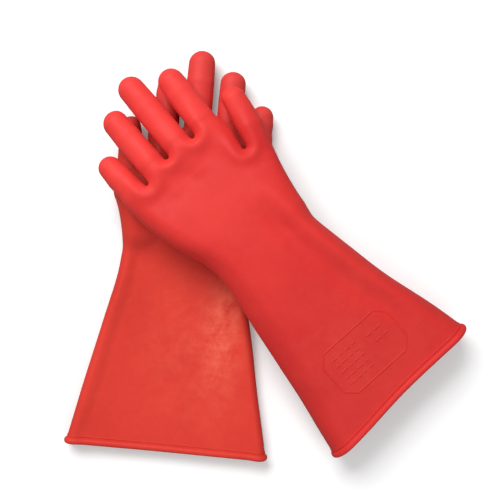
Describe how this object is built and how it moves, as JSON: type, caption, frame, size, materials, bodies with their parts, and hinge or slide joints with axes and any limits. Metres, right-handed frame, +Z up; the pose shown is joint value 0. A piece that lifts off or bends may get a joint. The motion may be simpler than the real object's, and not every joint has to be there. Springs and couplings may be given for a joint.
{
  "type": "electrical insulating gloves",
  "caption": "Pair of long rubber insulating gloves with flared gauntlets and rolled cuff beads, laid one across the other, for live electrical work.",
  "frame": {"origin": "centre of the pair at the surface that it lies on", "axes": "+Z up out of the palms, +Y towards the left glove's fingertips, +X towards the right glove's cuff"},
  "size_m": [0.3566, 0.3684, 0.0675],
  "materials": {
    "glove_rubber": "satin",
    "cuff_bead": "satin",
    "moulded_mark": "satin"
  },
  "bodies": {
    "left_glove": {"left_cuff_bead": "cuff_bead", "left_gauntlet": "glove_rubber", "left_hand": "glove_rubber", "left_thumb": "glove_rubber", "left_index_finger": "glove_rubber", "left_middle_finger": "glove_rubber", "left_ring_finger": "glove_rubber", "left_little_finger": "glove_rubber"},
    "right_gauntlet": {"right_gauntlet": "glove_rubber", "right_cuff_bead": "cuff_bead", "right_rating_frame": "moulded_mark", "right_rating_bars": "moulded_mark"},
    "right_hand": {"right_hand": "glove_rubber"},
    "right_thumb": {"right_thumb": "glove_rubber"},
    "right_index_finger": {"right_index_finger": "glove_rubber"},
    "right_middle_finger": {"right_middle_finger": "glove_rubber"},
    "right_ring_finger": {"right_ring_finger": "glove_rubber"},
    "right_little_finger": {"right_little_finger": "glove_rubber"}
  },
  "joints": [
    {"name": "right_glove_lift", "type": "slide", "parent": "left_glove", "child": "right_gauntlet", "axis": [0, 0, 1], "range_m": [0, 0.2]},
    {"name": "right_wrist_bend", "type": "hinge", "parent": "right_gauntlet", "child": "right_hand", "pos_m": [-0.00088, 0.01151, 0.068], "axis": [0.7455, 0.6665, 0], "range_deg": [0, 30], "stiffness_Nm_per_rad": 0.35},
    {"name": "right_thumb_bend", "type": "hinge", "parent": "right_hand", "child": "right_thumb", "pos_m": [-0.01661, 0.10608, 0.05404], "axis": [0.8849, 0.4658, 0], "range_deg": [0, 40], "stiffness_Nm_per_rad": 0.06},
    {"name": "right_index_finger_bend", "type": "hinge", "parent": "right_hand", "child": "right_index_finger", "pos_m": [-0.05722, 0.11382, 0.05312], "axis": [0.8022, 0.597, 0], "range_deg": [0, 50], "stiffness_Nm_per_rad": 0.06},
    {"name": "right_middle_finger_bend", "type": "hinge", "parent": "right_hand", "child": "right_middle_finger", "pos_m": [-0.07938, 0.0964, 0.05336], "axis": [0.7653, 0.6436, 0], "range_deg": [0, 50], "stiffness_Nm_per_rad": 0.06},
    {"name": "right_ring_finger_bend", "type": "hinge", "parent": "right_hand", "child": "right_ring_finger", "pos_m": [-0.10072, 0.07793, 0.05288], "axis": [0.7543, 0.6565, 0], "range_deg": [0, 50], "stiffness_Nm_per_rad": 0.06},
    {"name": "right_little_finger_bend", "type": "hinge", "parent": "right_hand", "child": "right_little_finger", "pos_m": [-0.11726, 0.05507, 0.05167], "axis": [0.7059, 0.7083, 0], "range_deg": [0, 50], "stiffness_Nm_per_rad": 0.06}
  ]
}
